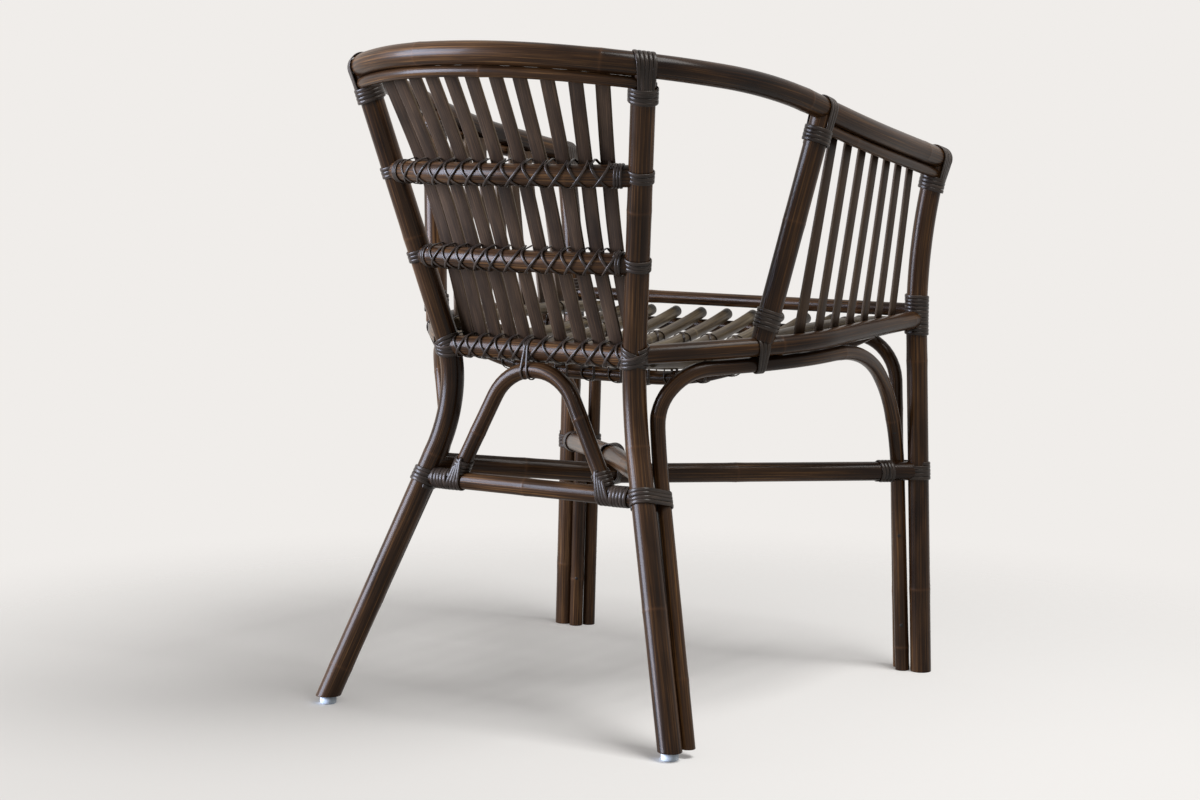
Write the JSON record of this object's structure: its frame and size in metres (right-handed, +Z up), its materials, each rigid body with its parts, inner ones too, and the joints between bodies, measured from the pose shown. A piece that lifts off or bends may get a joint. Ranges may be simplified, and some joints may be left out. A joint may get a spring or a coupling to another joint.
{
  "type": "lamu chair",
  "caption": "Tub armchair of bent dark rattan poles with a hooped top rail, slatted back and arms, a pole seat, arched leg braces and lashed joints.",
  "frame": {"origin": "on the floor, under the middle of the chair's outline", "axes": "+Z up; -Y is the front, where the sitter's knees are; +X is the sitter's left"},
  "size_m": [0.6052, 0.6704, 0.794],
  "materials": {
    "cane_lashing": "dark grey-black cane strand, satin",
    "frame_rattan": "dark espresso lacquered rattan pole, satin, brown-orange grain",
    "glide_plastic": "pale blue-white plastic",
    "seat_rattan": "dark grey-brown rattan pole, satin, a little worn",
    "slat_rattan": "dark stained split rattan slat, matt, fine grain along its length"
  },
  "bodies": {
    "root": {"arm_post_lashings": "cane_lashing", "arm_post_left": "frame_rattan", "arm_post_right": "frame_rattan", "arm_slats_left": "slat_rattan", "arm_slats_right": "slat_rattan", "arm_under_rail_left": "frame_rattan", "arm_under_rail_right": "frame_rattan", "back_seat_rail": "frame_rattan", "back_slat_1": "slat_rattan", "back_slat_10": "slat_rattan", "back_slat_11": "slat_rattan", "back_slat_2": "slat_rattan", "back_slat_3": "slat_rattan", "back_slat_4": "slat_rattan", "back_slat_5": "slat_rattan", "back_slat_6": "slat_rattan", "back_slat_7": "slat_rattan", "back_slat_8": "slat_rattan", "back_slat_9": "slat_rattan", "back_under_rail": "frame_rattan", "brace_lashings": "cane_lashing", "brace_lower": "frame_rattan", "brace_upper": "frame_rattan", "cross_rail_lashings": "cane_lashing", "front_arch": "frame_rattan", "front_leg_left": "frame_rattan", "front_leg_right": "frame_rattan", "front_seat_rail": "frame_rattan", "front_seat_support": "frame_rattan", "glide_left": "glide_plastic", "glide_right": "glide_plastic", "lower_cross_rail": "frame_rattan", "rear_arch": "frame_rattan", "rear_arch_lashing": "cane_lashing", "rear_leg_left": "frame_rattan", "rear_leg_right": "frame_rattan", "rear_seat_support": "frame_rattan", "rear_stretcher": "frame_rattan", "seat_pole_1": "seat_rattan", "seat_pole_10": "seat_rattan", "seat_pole_11": "seat_rattan", "seat_pole_12": "seat_rattan", "seat_pole_2": "seat_rattan", "seat_pole_3": "seat_rattan", "seat_pole_4": "seat_rattan", "seat_pole_5": "seat_rattan", "seat_pole_6": "seat_rattan", "seat_pole_7": "seat_rattan", "seat_pole_8": "seat_rattan", "seat_pole_9": "seat_rattan", "seat_rail_lashings": "cane_lashing", "side_arch_left": "frame_rattan", "side_arch_right": "frame_rattan", "side_seat_rail_left": "frame_rattan", "side_seat_rail_right": "frame_rattan", "stretcher_lashings": "cane_lashing", "top_rail": "frame_rattan", "top_rail_lashings": "cane_lashing", "upper_cross_rail": "frame_rattan"}
  },
  "joints": []
}
